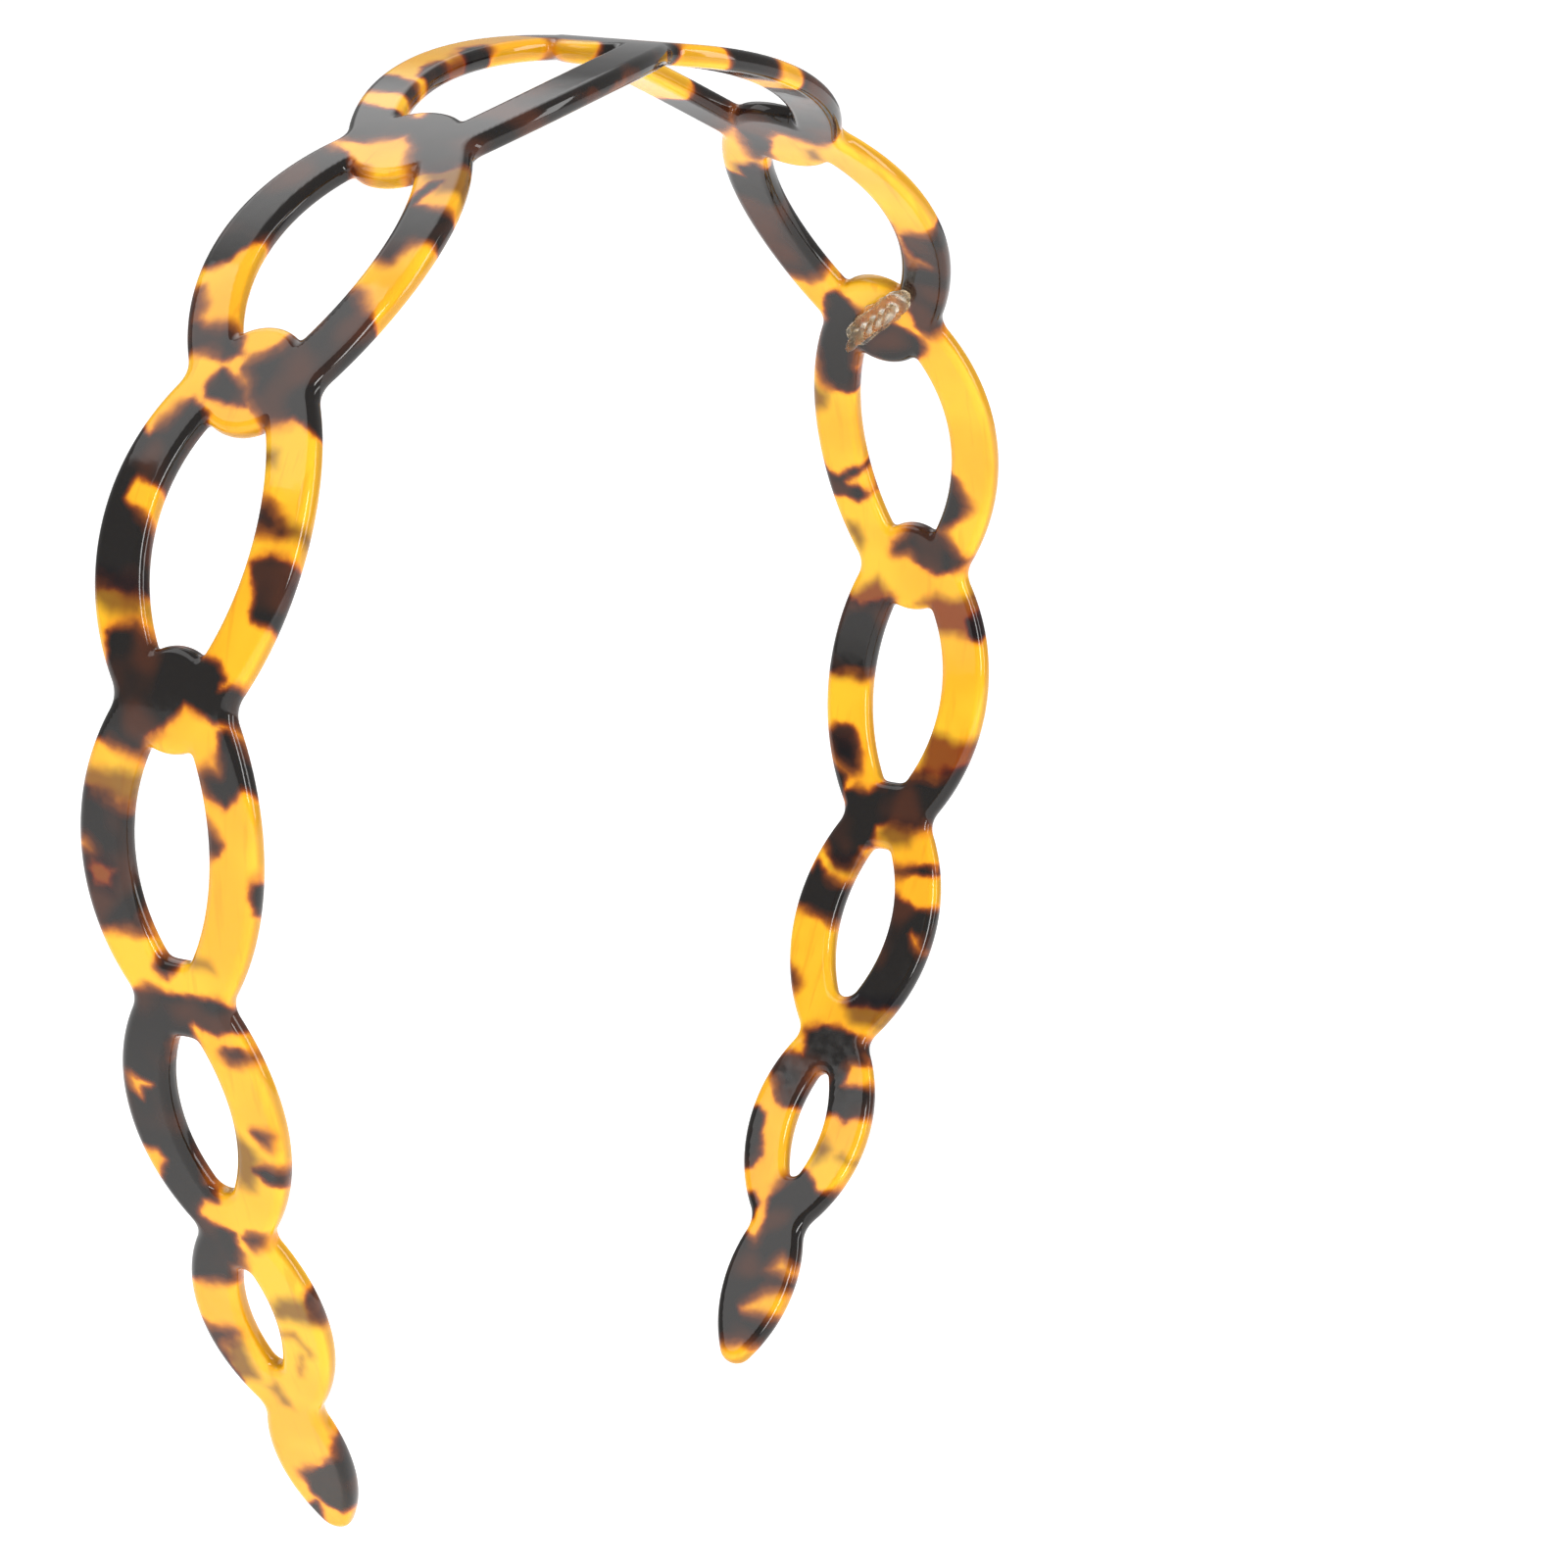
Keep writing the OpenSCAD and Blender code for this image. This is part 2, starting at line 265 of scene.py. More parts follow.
# ---------------------------------------------------------------------------------------------
# Tortoiseshell layout: blotches in the flat sheet
# ---------------------------------------------------------------------------------------------
# Each blotch is a list of corners (s, v) in millimetres: s from the crown towards that arm's
# tip, v across the arm from its middle line, negative towards the front edge.
LEFT_DARK = [
    # the crown joint and link 1's front bar, as far as link 2
    [(-1, -13), (37.5, -13), (39.2, -9.6), (41.2, -7.6), (41.6, -5.2), (40.2, -3.4), (37.6, -2.2),
     (35.9, -0.4), (36.8, 1.6), (37.6, 3.6), (37.2, 7.5), (34, 9.5), (30.6, 9), (31.6, 4.5),
     (30.6, 0), (28, -5.5), (8, -5), (3.6, -2), (4.2, 4), (4.4, 12.5), (-1, 12.5)],
    # link 1's back bar
    [(12.2, 4), (15.4, 4), (15.8, 6.4), (13.8, 7.2), (12, 6.4)],
    [(19, 4), (23, 4), (23.4, 6.2), (21, 7.2), (19.4, 6.8)],
    [(26, 4), (28, 4), (27.4, 10.5), (24, 11.8), (24.2, 8.4)],
    # link 2
    [(38.6, 7.3), (39.6, 4.6), (40.8, 2.8), (42.5, 0.6), (44.2, -0.8), (45.5, 2), (51, 4.2),
     (53.2, 6.6), (55.6, 7.8), (56.6, 9.4), (56.8, 12.5), (38, 12.5), (36.9, 9)],
    [(47, -12.8), (46.8, -9.6), (46.5, -8.4), (46.9, -6), (53, -6.2), (53.6, -7.6), (54, -9),
     (52.6, -9.3), (51.3, -9.9), (50.6, -12.8)],
    [(42.8, -8.4), (45.2, -7.7), (46.9, -7.3), (46.9, -6.7), (44.6, -6.8), (43.2, -7.5)],
    [(57.6, -6.2), (58.2, -8), (59.7, -9.2), (60.4, -10), (61, -11.2), (61.8, -13), (71.5, -13),
     (72.6, -9.8), (71.9, -8.2), (71.6, -6.6), (72.2, -5.2), (72.4, -4.4), (71.2, -2.8),
     (70.4, -1.4), (68.4, -0.9), (67.2, 0.2), (66.2, -0.6), (65.4, -1.6), (64.8, -2.6),
     (63.2, -3), (62.3, -4.8)],
    [(69.2, -0.8), (70.9, -1.5), (70.8, 1), (70.4, 2.9), (69.4, 3.5), (67.6, 2.5), (68.4, 1)],
    [(63, 3.4), (64.2, 1.9), (65.8, 1.4), (66.7, 2.8), (65.9, 5), (66, 6.4), (66.6, 8), (63, 10.5),
     (59.6, 11.5), (59.6, 9), (61.2, 7.9), (62.8, 7.8), (63.4, 6.4), (63.2, 5)],
    # link 3
    [(70.9, 4.4), (72.2, 2.2), (75, 2.5), (79, 3.8), (84, 4), (88.6, 3.6), (89.2, 5.5),
     (88.6, 8.6), (87.6, 11.5), (73.2, 11.5), (74, 9), (74.9, 7.6), (72.3, 5.6)],
    [(79.6, -5.5), (79.9, -7.6), (81.2, -8.9), (82.3, -9.6), (82.2, -7.6), (81.9, -5.5)],
    [(85.2, -13), (84.9, -10.8), (84.6, -9), (85.2, -7.2), (86.2, -7.6), (88, -8.2),
     (90.2, -8.3), (90.6, -10.9), (90.8, -13)],
    [(94.2, -3.6), (94.4, -5.4), (95.6, -6.3), (96.8, -5.6), (96.2, -7.8), (97, -9.4),
     (99.6, -8.8), (99.4, -5.6), (98.7, -4.2), (98.1, -2.2), (99.6, -1), (100.8, 0.6),
     (101.6, 1.8), (103.2, 2), (102.7, 5.2), (101.9, 8.4), (97.5, 6.5), (94.8, 6.6), (92.9, 7),
     (92.3, 5.2), (91.8, 4), (93, 2.4), (93, -3)],
    # link 4
    [(100, -7), (101, -8.8), (103.5, -11), (105.2, -10.4), (104.6, -9), (105.6, -8.4),
     (106.8, -7.4), (106, -5.6), (104.6, -4), (103.9, -5.2), (104, -6.6), (102.2, -6.5),
     (100.4, -6.4)],
    [(108.2, -4.4), (109.4, -5.8), (110.4, -7), (111.1, -6.4), (111.2, -5.4), (110.6, -4.4)],
    [(112.9, -11.6), (113.6, -10.2), (115, -9.8), (116.2, -10.2), (115.8, -11.8)],
    [(121.6, -1.2), (123.2, -0.5), (123.7, 0.3), (123.2, 1.3), (121.8, 1)],
    [(108.6, 2.6), (119.8, 2.2), (119.6, 5), (120, 9.8), (107.2, 10.2), (107, 8), (107.6, 6)],
    # link 5
    [(125.4, -5.4), (127, -7.6), (128, -8.4), (128.1, -6.2), (128.7, -4.6), (128.3, -3),
     (127.7, -2.2), (128.2, -1.5), (129.8, -1.9), (129.8, 0.6), (133, 1), (138, 0.8), (143, 1),
     (146, 0.6), (147.6, 0), (147.6, 1.4), (149, 2.4), (149.8, 2.6), (150.4, 1.6), (150.9, 0),
     (151.2, -1.1), (152.4, -0.9), (153.4, -1.2), (155.4, -0.8), (155.6, 0.2), (157.2, 0.6),
     (157.4, 2.6), (157.8, 5), (157.7, 8), (152, 6), (147, 9), (138, 9.5), (128, 7.6),
     (126, 4.6), (125.2, 2.4), (125.5, 0.5), (125.4, -2.4)],
    [(130, -5.2), (130, -6.8), (130.6, -8), (131.1, -6.6), (131.2, -5.6), (130.6, -5)],
    [(138.7, -6.4), (138.8, -8.2), (139.8, -7.8), (139.4, -7)],
    [(142.9, -10), (144.4, -8.4), (144.2, -6.6), (143.2, -5.6), (142.6, -6.4)],
    [(150.9, -4.4), (151.8, -3.9), (152.4, -2.8), (151.6, -2.2), (150.8, -2.8)],
    # link 6 and the paddle
    [(156, -8.4), (158.5, -9.4), (160.8, -9), (159.6, -7.6), (157.4, -7.4)],
    [(163.8, 2.6), (164.6, 3.2), (166, 4.8), (168.4, 4.6), (170.2, 3.8), (169.8, 6.4),
     (166.8, 7.4), (163.4, 7.8), (163.2, 6.4), (164, 5.4)],
    [(175.6, -6.4), (176.4, -4.6), (178.6, -4.2), (180.2, -2.6), (181, -1.2), (182, 0.4),
     (184.4, 0.2), (185.6, -0.6), (186.6, -2.4), (185.6, -4.4), (180, -6.8)],
    [(185.9, 0.2), (189.2, 0.6), (188.6, 1.8), (187.2, 2.6)],
]
RIGHT_DARK = [
    # the crown joint and link 1, as far as link 2
    [(0, -3), (2.4, -2), (3.2, 4), (12, 5), (12.8, 12.8), (0, 12.5)],
    [(7, -13), (14.2, -13), (13.4, -5), (7.6, -5)],
    [(18.8, -12.8), (30, -12.6), (33.4, -9.4), (35.4, -7.2), (36.3, -5), (35, -3.2), (34, -1.2),
     (35.6, 0.4), (38, 1.4), (40.4, 2.6), (40.8, 4.6), (37.6, 4.2), (35.2, 3.4), (32.2, 3.2),
     (30.6, 3.4), (30, 0), (30, -4), (28, -5.5), (18.8, -5.5)],
    [(26.6, 4), (28.5, 2.4), (33, 3.4), (35, 5.8), (33, 8.6), (28.5, 10), (26.8, 9)],
    # link 2
    [(52.2, -13), (53.5, -11), (53.4, -9.4), (53.9, -8.2), (55.6, -7.9), (57, -8.5),
     (58.4, -9.7), (58.3, -8.4), (58.6, -7.1), (56.5, -7.1), (52.2, -7), (53, -6), (58, -5.6),
     (61.5, -4.2), (62.6, -4), (63.8, -5), (65.8, -5.2), (67.8, -5.4), (68.8, -6.6),
     (68.4, -8.4), (66.8, -10), (62, -13)],
    [(42.4, 5.2), (45.5, 3.8), (58, 3.6), (61.2, 4.2), (62.4, 6.4), (61.9, 8.2), (61.7, 12.5),
     (44.2, 13), (44.2, 9.6), (45, 7.6), (43.2, 7.2)],
    # link 3
    [(68.4, -3.4), (69.2, -5), (70.6, -5.6), (72.2, -4.4), (73.4, -3), (73.4, 2.4), (72.4, 3),
     (74.6, 4), (77.8, 4.6), (77.4, 6.6), (76.8, 8.2), (75.2, 8.4), (73, 8.4), (70.6, 7.8),
     (68.8, 6.6), (67.8, 5.6), (66, 5.4), (64.6, 4.8), (63.8, 3.6), (65, 2.4), (66.6, 1.4),
     (68, 1.6), (69.2, 1.8), (69, 0.2), (67.8, -1.4), (67.6, -2.4)],
    [(86.6, -5.4), (87.2, -6.6), (89.2, -7.6), (90.4, -8.2), (91.2, -7.4), (93.6, -4.6),
     (93.2, -3), (90, -4.2), (88, -5)],
    [(92.8, -2.6), (93.8, -4.8), (95.4, -6), (96.8, -7.4), (98, -6), (98.4, -4), (97.8, -2),
     (96.4, -0.6), (96.6, 0.6), (96.4, 1.4), (95.6, 1.2), (94.6, 0), (92.8, -0.8)],
    [(87, 4.6), (88.4, 6.6), (89, 7.4), (89.6, 7), (89.4, 5.6), (90.2, 4.6), (91, 5.6),
     (90.4, 7.4), (90.6, 9.2), (89, 11), (87.2, 11), (88, 9.2), (88.4, 8), (87.6, 6.8)],
    # link 4
    [(102.4, -9.6), (105.8, -10.8), (105.2, -8.4), (103.4, -7.9)],
    [(102.2, 1.8), (104.5, 2), (110.6, 2.8), (111, 4.6), (110.4, 6.6), (111, 8.8), (110.6, 10.6),
     (104, 10), (102.4, 7.6), (103.2, 5.6)],
    [(116.9, 5.2), (119, 4), (121.6, 3.6), (122.2, 4.4), (121, 6.6), (119.8, 7.6), (118, 7.9),
     (117, 7)],
    [(120.6, 9), (121.4, 6.8), (122.4, 5), (124.9, 5.2), (124, 7), (121.6, 9)],
    [(119.6, -10), (124.4, -9), (126.8, -6.6), (127.4, -4.6), (126.8, -2), (127.6, 0.2),
     (129.9, 0.4), (130.4, 1.6), (132.4, 2.2), (132.8, 3.6), (131.6, 5.2), (129.4, 6.6),
     (127.4, 5.2), (125.6, 4.6), (124.4, 4.8), (123.8, 3.6), (124.2, 2), (123, 0.4),
     (121.6, 0), (121.6, -2.8), (121.2, -4.6), (121.8, -6.4), (120.6, -7.6)],
    # link 5
    [(131.4, -7.4), (132.2, -8.2), (132.3, -5.4), (132.9, -2.8), (132.3, -2.8), (131.8, -5.2)],
    [(136.2, -10), (146, -9.8), (147.6, -7.4), (147.8, -4.6), (148, -2), (146.6, -1.2),
     (141, -2.6), (135, -2.8), (135.7, -5.4), (136.4, -7)],
    [(135.2, 1.8), (139.4, 2), (138.8, 4.4), (138.2, 6), (137.4, 8.8), (134.4, 8.8), (133.8, 7),
     (132.6, 6.4), (134, 5), (134.6, 3.6)],
    [(145, 7.6), (145.6, 6.2), (146.6, 5.2), (147.2, 5.6), (146.8, 7)],
    # link 6 and the paddle
    [(151.4, -3.6), (152.6, -5.2), (154.4, -5.6), (154.6, -3.9), (157.3, -3.6), (157.2, -5.6),
     (157, -7.8), (160, -8.6), (160.4, -6.2), (161.2, -5.4), (160.4, -4), (160.9, -1.6),
     (157, -1.6), (155.8, 0.2), (156.6, 0.6), (160.4, 0.6), (160.6, 2.4), (160, 3.6),
     (158, 4.4), (156.4, 5.8), (155.2, 5), (154.6, 3.4), (154.8, 1.9), (153.4, 1.9),
     (151.9, 2.4), (151, 0.6), (150.9, -1.6)],
    [(161.3, 5.6), (162, 4.6), (164.2, 4.4), (166.4, 3.6), (167.8, 4.2), (168.4, 5.6),
     (166, 7.4), (161.6, 8)],
    [(171, 3), (172, 2), (173.6, 2.4), (173.4, 4), (171.2, 4.6)],
    [(168.8, -8), (171.6, -7.4), (173.8, -5), (176, -5.2), (181, -6), (186.5, -5), (188.2, -3.4),
     (187.6, -1.6), (188, 0.6), (188.6, 3), (184, 5), (178, 5), (175.4, 2.8), (176.2, 0.9),
     (174, 0.5), (171.4, 0.9), (169.8, 0.2), (168.4, -0.4), (167.4, -2), (168.4, -3.4),
     (169.8, -4.4), (169.4, -6.2)],
]
# Amber that cuts into the dark
LEFT_AMBER = [
    [(31, -0.1), (32.6, 0), (33, 1), (32.2, 2), (31.2, 1.6)],
    [(79.3, 3.4), (83.8, 3.4), (82.2, 5.8), (81.4, 7.6), (80.9, 8.3), (79, 7.9), (78.5, 7.4),
     (79, 5.6)],
    [(111.4, 9.4), (111.6, 8.2), (112.4, 7.4), (113.4, 6.6), (113, 7.8), (112.6, 9.4)],
    [(113.4, 6.6), (114.2, 5), (116, 5.6), (115.8, 7.4), (114.4, 8.4), (113.4, 7.6)],
    [(135.4, 3.9), (135.9, 5.2), (137.4, 5.6), (136.4, 6.6), (134.6, 7.2), (134.2, 6.2),
     (134.8, 5.4)],
    [(142.6, 5.2), (143.8, 4.6), (146.2, 5.6), (147, 6.9), (146.6, 9.4), (142.2, 9.6)],
]
RIGHT_AMBER = [
    [(138.6, -7), (139.6, -8.2), (141.4, -9.1), (140.4, -7.6), (139.2, -6.8)],
    [(181.2, -5.8), (184.8, -5.4), (184.4, -2.6), (184.6, -0.2), (183.8, 0.4), (183, -0.6),
     (181.6, -2), (181, -3.4)],
    [(178.6, -5.2), (180, -5), (179.4, -3), (179.2, -1.6), (178.2, -2.2), (177.2, -2.8)],
    [(187.8, -3), (191, -2), (191, 2), (188.8, 2.8), (188, 0.6)],
]
# Olive-brown haze: pigment that is thin or lies deep
LEFT_HAZE = [
    [(39, -11), (44, -12), (44.5, -9), (42, -5.5), (40.5, -5)],
    [(75, -6.8), (76.4, -7), (76, -5), (74.6, -5)],
    [(81, -9), (81.4, -13), (82.8, -13), (82.6, -9)],
    [(87.8, 3.6), (91.2, 3.6), (91.4, 7), (90, 10), (87, 11)],
    [(104.8, 2), (108.2, 2.6), (107.6, 10), (105, 9)],
    [(121.4, -4.8), (122.4, -5.2), (122.2, -2.6), (121.2, -2.8)],
    [(138.6, -4), (140.2, -5.6), (141.6, -6.6), (143.4, -6), (145.6, -5), (145.4, -3),
     (141, -3.2)],
    [(157.6, -7.6), (161.2, -8.8), (161, -7), (160.8, -4.6), (161, -2.8), (159.4, -2.8),
     (158.2, -4.2)],
    [(164, 2), (169.6, 1.4), (170.2, 4), (168, 5), (165.4, 4)],
    [(169.6, -0.6), (172.8, -1.4), (172.4, -0.4), (170.4, 0.8)],
    [(44.6, 2.4), (49.4, 3.8), (49, 5.2), (45.6, 4.6)],
]
RIGHT_HAZE = [
    [(37.4, -4.2), (40.4, -4.2), (40.2, -2.6), (38, -2.8)],
    [(41.6, 4.6), (45.4, 4.6), (44.2, 8.8), (42.4, 8)],
    [(77, 9.8), (78.4, 7.8), (80, 8.4), (81.2, 11), (77.5, 11.4)],
    [(93.6, 7.2), (93.9, 5.8), (95.6, 5), (97, 5.6), (95, 7.2)],
    [(126.6, -5), (129.4, -4.6), (129.8, -2), (128.6, 0.2), (126.8, -1)],
    [(131, 1.6), (133.8, 2), (133.2, 4.6), (131.6, 5.4)],
    [(146.5, -8.8), (150.4, -5.8), (150.2, -2.6), (148.2, -1), (146.6, -2)],
    [(163.2, -3.4), (164.6, -4.7), (165.6, -4.2), (166.6, -3), (164.4, -2.6)],
    [(164.8, -6), (165.8, -7.8), (166, -7.4), (165.2, -5.4)],
    [(110.6, 3), (111.8, 3.2), (111.6, 8.8), (110.6, 9.4)],
]
# Thin red-brown pigment
LEFT_RUST = [
    [(14.8, 4), (19.6, 4), (19.2, 6.4), (15, 6.6)],
    [(112.6, 6.4), (114.2, 4.4), (116.8, 5.2), (116.4, 8), (114.4, 9.2), (112.8, 8.2)],
    [(76.4, 10), (79.6, 9.6), (79.6, 11), (76.4, 11.2)],
    [(51.4, -9.6), (53.8, -9), (53.6, -7.4), (52.2, -7.6)],
    [(86, -12.2), (88.4, -12.6), (88.2, -11.4), (86.2, -11.2)],
    [(162.3, -4.8), (164.6, -6.1), (165.3, -5.6), (164.5, -5.6), (162.9, -4.5), (163.3, -2.6),
     (162.8, -2.4)],
    [(165, -5), (167.8, -4), (168, -3.6), (165.4, -4.5)],
]
RIGHT_RUST = [
    [(100.6, -8), (103, -9.8), (106.2, -11.4), (105.6, -9), (105.2, -6.6), (105.4, -3.6),
     (104, -3), (102.6, -2.6), (102.2, -1.4), (101.4, -2.6), (100.7, -4), (101.2, -5.6)],
    [(116.6, -10.8), (120.4, -10.6), (121.8, -6.6), (121.4, -4), (116.2, -4.2), (116.4, -6.6),
     (117, -8)],
    [(99.6, 3.4), (101.4, 1.8), (102.8, 2.2), (103.4, 5.4), (102.6, 7.8), (101.2, 5.8)],
    [(117.6, 5.2), (121.4, 4), (120.4, 6.8), (118.2, 7.4)],
    [(54, -8), (58, -8.6), (58, -7.2), (54.4, -7.2)],
]
# The layout lies on the left arm's outer face and the right arm's inner face, this far to the
# back of the middle line. From there the blotches lean through the sheet, by so much along and
# across for each millimetre of depth.
LAYOUT_V = 0.6
LAYER_LEAN = (0.35, 0.25)
FAR = 4.0  # no material looks further than this from a blotch's edge


def polygon_distance(s, v, corners):
    """Signed distance to a polygon, negative inside."""
    best = np.full(len(s), np.inf)
    inside = np.zeros(len(s), bool)
    for (s0, v0), (s1, v1) in zip(corners, corners[1:] + corners[:1]):
        ds, dv = s1 - s0, v1 - v0
        t = np.clip(((s - s0) * ds + (v - v0) * dv) / (ds * ds + dv * dv), 0, 1)
        best = np.minimum(best, np.hypot(s - s0 - t * ds, v - v0 - t * dv))
        if v0 != v1:
            inside ^= ((v0 > v) != (v1 > v)) & (s < s0 + (v - v0) * ds / dv)
    return np.where(inside, -best, best)


def blotch_distance(flat, left, right):
    """Signed distance to the nearest blotch, in millimetres, no more than FAR."""
    result = np.full(len(flat), FAR)
    for side, blotches in ((-1.0, left), (1.0, right)):
        sunk = flat[:, 2] + side * SHEET_T / 2
        s = side * flat[:, 0] + LAYER_LEAN[0] * sunk
        v = flat[:, 1] - LAYOUT_V + LAYER_LEAN[1] * sunk
        for corners in blotches:
            low, high = np.min(corners, axis=0) - FAR, np.max(corners, axis=0) + FAR
            near = (s > low[0]) & (s < high[0]) & (v > low[1]) & (v < high[1])
            near = np.flatnonzero(near)
            d = polygon_distance(s[near], v[near], corners)
            result[near] = np.minimum(result[near], d)
    return result


CELL = ((0.27, 0.27, 0.2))
SPARE = 1.0  # room between the sheet's edge and the end of the grid
SPARE_T = 0.35


def band():
    """The sheet with its links cut out, bent on the arch, with the layout as attributes."""
    reach = ARM_LEN + SPARE
    half_w = max(LINK_W) / 2 + SPARE
    half_t = SHEET_T / 2

    def field(p):
        return plate_distance(p, outline_distance, half_t - SKIN, EDGE_R, SWELL)

    high = np.array([reach, half_w, half_t + SPARE_T])
    flat, quads = surface_net(field, -high, high, CELL)
    slope = gradient(field, flat)
    slope /= np.linalg.norm(slope, axis=1, keepdims=True)
    obj = mesh_object("tortoiseshell_band", bend_points(flat), quads, bend_normals(flat, slope))
    dark = blotch_distance(flat, LEFT_DARK, RIGHT_DARK)
    dark = np.maximum(dark, -blotch_distance(flat, LEFT_AMBER, RIGHT_AMBER))
    add_attribute(obj, "sheet", "FLOAT_VECTOR", flat)
    add_attribute(obj, "blotch", "FLOAT", dark)
    add_attribute(obj, "haze", "FLOAT", blotch_distance(flat, LEFT_HAZE, RIGHT_HAZE))
    add_attribute(obj, "rust", "FLOAT", blotch_distance(flat, LEFT_RUST, RIGHT_RUST))
    # How much the surface is a cut wall; the material paints shade on the amber there
    add_attribute(obj, "wall", "FLOAT", 1 - np.abs(slope[:, 2]))
    return obj


# ---------------------------------------------------------------------------------------------
# Combs and adhesive, in the comb's own directions: x along the strip, y across it
# ---------------------------------------------------------------------------------------------
COMB_S, COMB_V = 66.3, -0.9
COMB_TURN = math.radians(50)
STRIP_LEN, STRIP_W, STRIP_T = 11.0, 2.8, 1.0
TOOTH_COUNT, TOOTH_PITCH, TOOTH_LEN, TOOTH_ROOT = 5, 1.8, 3.0, 1.4
GLUE_T, GLUE_LEN, GLUE_W = 0.3, 12.2, 4.0
STRIP_EDGE_R = 0.32
GROOVE_DEPTH, GROOVE_W, GROOVE_REACH = 0.14, 0.13, 0.6
COLLAR = 0.35
STRIP_TOP = -SHEET_T / 2 - GLUE_T
STRIP_FACE = STRIP_TOP - STRIP_T


def comb_to_sheet(p, side):
    """Comb directions to flat sheet points on one arm. The left comb mirrors the right one."""
    c, n = math.cos(COMB_TURN), math.sin(COMB_TURN)
    s = COMB_S + p[:, 0] * c - p[:, 1] * n
    v = COMB_V + p[:, 0] * n + p[:, 1] * c
    return np.stack([side * s, v, p[:, 2]], axis=1)


def bar_distance(x, y):
    """Signed distance to the strip's outline, a bar with round ends."""
    half = (STRIP_LEN - STRIP_W) / 2
    return np.hypot(np.maximum(np.abs(x) - half, 0), y) - STRIP_W / 2


def strip_field(p):
    """The strip: rounded edges and a moulding groove that runs round its side."""
    local = p - np.array([0, 0, (STRIP_TOP + STRIP_FACE) / 2])
    groove = GROOVE_DEPTH * np.exp(-((local[..., 2] / GROOVE_W) ** 2))
    plate = plate_distance(local, bar_distance, STRIP_T / 2, STRIP_EDGE_R)
    near_side = np.clip(bar_distance(local[..., 0], local[..., 1]) / GROOVE_REACH + 1, 0, 1)
    return plate + groove * near_side


def teeth_field(p):
    """Bullet-shaped teeth: half ellipsoids that hang from the strip."""
    middle = (TOOTH_COUNT - 1) / 2
    nearest = np.clip(np.round(p[..., 0] / TOOTH_PITCH + middle), 0, TOOTH_COUNT - 1) - middle
    offset = np.stack([p[..., 0] - nearest * TOOTH_PITCH, p[..., 1], p[..., 2] - STRIP_FACE], -1)
    size = np.array([TOOTH_ROOT / 2, TOOTH_ROOT / 2, TOOTH_LEN])
    k0 = np.linalg.norm(offset / size, axis=-1)
    k1 = np.linalg.norm(offset / size ** 2, axis=-1)
    return np.maximum(k0 * (k0 - 1) / np.maximum(k1, 1e-6), offset[..., 2] - STRIP_T / 2)


def comb_field(p):
    """Strip and teeth as one moulding, with a small collar round each tooth."""
    return blend_min(strip_field(p), teeth_field(p), COLLAR)


COMB_CELL = (0.16, 0.16, 0.12)
MARGIN, MARGIN_T = 0.3, 0.2  # grid room beside a comb piece, and above and below it


def comb_piece(name, side, field, length, width, bottom, top):
    """The surface of a field, meshed in comb directions and set on one arm."""
    low = (-length / 2 - MARGIN, -width / 2 - MARGIN, bottom)
    high = (length / 2 + MARGIN, width / 2 + MARGIN, top + MARGIN_T)
    points, faces = surface_net(field, low, high, COMB_CELL)
    flat = comb_to_sheet(points, side)
    if side < 0:
        faces = faces[:, ::-1]
    normals = comb_to_sheet(gradient(field, points), side) - comb_to_sheet(np.zeros((1, 3)), side)
    obj = mesh_object(name, bend_points(flat), faces, bend_normals(flat, normals))
    add_attribute(obj, "local", "FLOAT_VECTOR", points)
    return obj


def comb(name, side):
    bottom = STRIP_FACE - TOOTH_LEN - MARGIN_T
    return comb_piece(name, side, comb_field, STRIP_LEN, STRIP_W, bottom, STRIP_TOP)


RIPPLE_WAVES = 4
RIPPLE_PACE = 1.1


def ripple(x, y, seed):
    """Smooth, repeatable lumps between about -1 and 1: crossing waves, finer and lower in turn."""
    total = np.zeros_like(x)
    for i in range(1, RIPPLE_WAVES + 1):
        turn = seed * 1.7 + i * 2.4
        along = x * math.cos(turn) + y * math.sin(turn)
        total += np.sin(along * RIPPLE_PACE * i + seed + i) / (0.6 + 0.4 * i)
    return total / 2


GLUE_SEEDS = {"right": 1, "left": 3}
GLUE_WAVER = 0.22  # how far the pad's edge wanders
GLUE_INSET, GLUE_SHRINK = 0.25, 0.15  # together they keep the wandering edge inside the pad's size
GLUE_GAP = 0.02  # from the pad to the strip
GLUE_EDGE_R = 0.3
GLUE_BEAD, GLUE_BEAD_W = 0.35, 0.35  # how far the glue climbs the strip's side, and how wide
GLUE_DROP = 1.0  # grid room below the pad, for the bead


def glue_field(seed):
    """Set adhesive: a pad with a wavy edge and lumps, beaded up against the strip's side."""
    def field(p):
        x, y, z = p[..., 0], p[..., 1], p[..., 2]
        pad = oval_distance(x, y, GLUE_LEN / 2 - GLUE_INSET, GLUE_W / 2 - GLUE_INSET)
        across = pad + GLUE_WAVER * ripple(x, y, seed) + GLUE_SHRINK
        against = np.exp(-np.abs(bar_distance(x, y)) / GLUE_BEAD_W)
        climb = GLUE_BEAD * against * (0.8 + 0.5 * ripple(1.7 * x, 1.7 * y, seed + 3))
        inner = STRIP_TOP + GLUE_GAP - climb - z
        outer = z - (STRIP_TOP + GLUE_T)
        return blend_max(across, np.maximum(inner, outer), GLUE_EDGE_R)
    return field


def adhesive(name, side, seed):
    bottom, top = STRIP_TOP - GLUE_DROP, STRIP_TOP + GLUE_T
    return comb_piece(name, side, glue_field(seed), GLUE_LEN, GLUE_W, bottom, top)


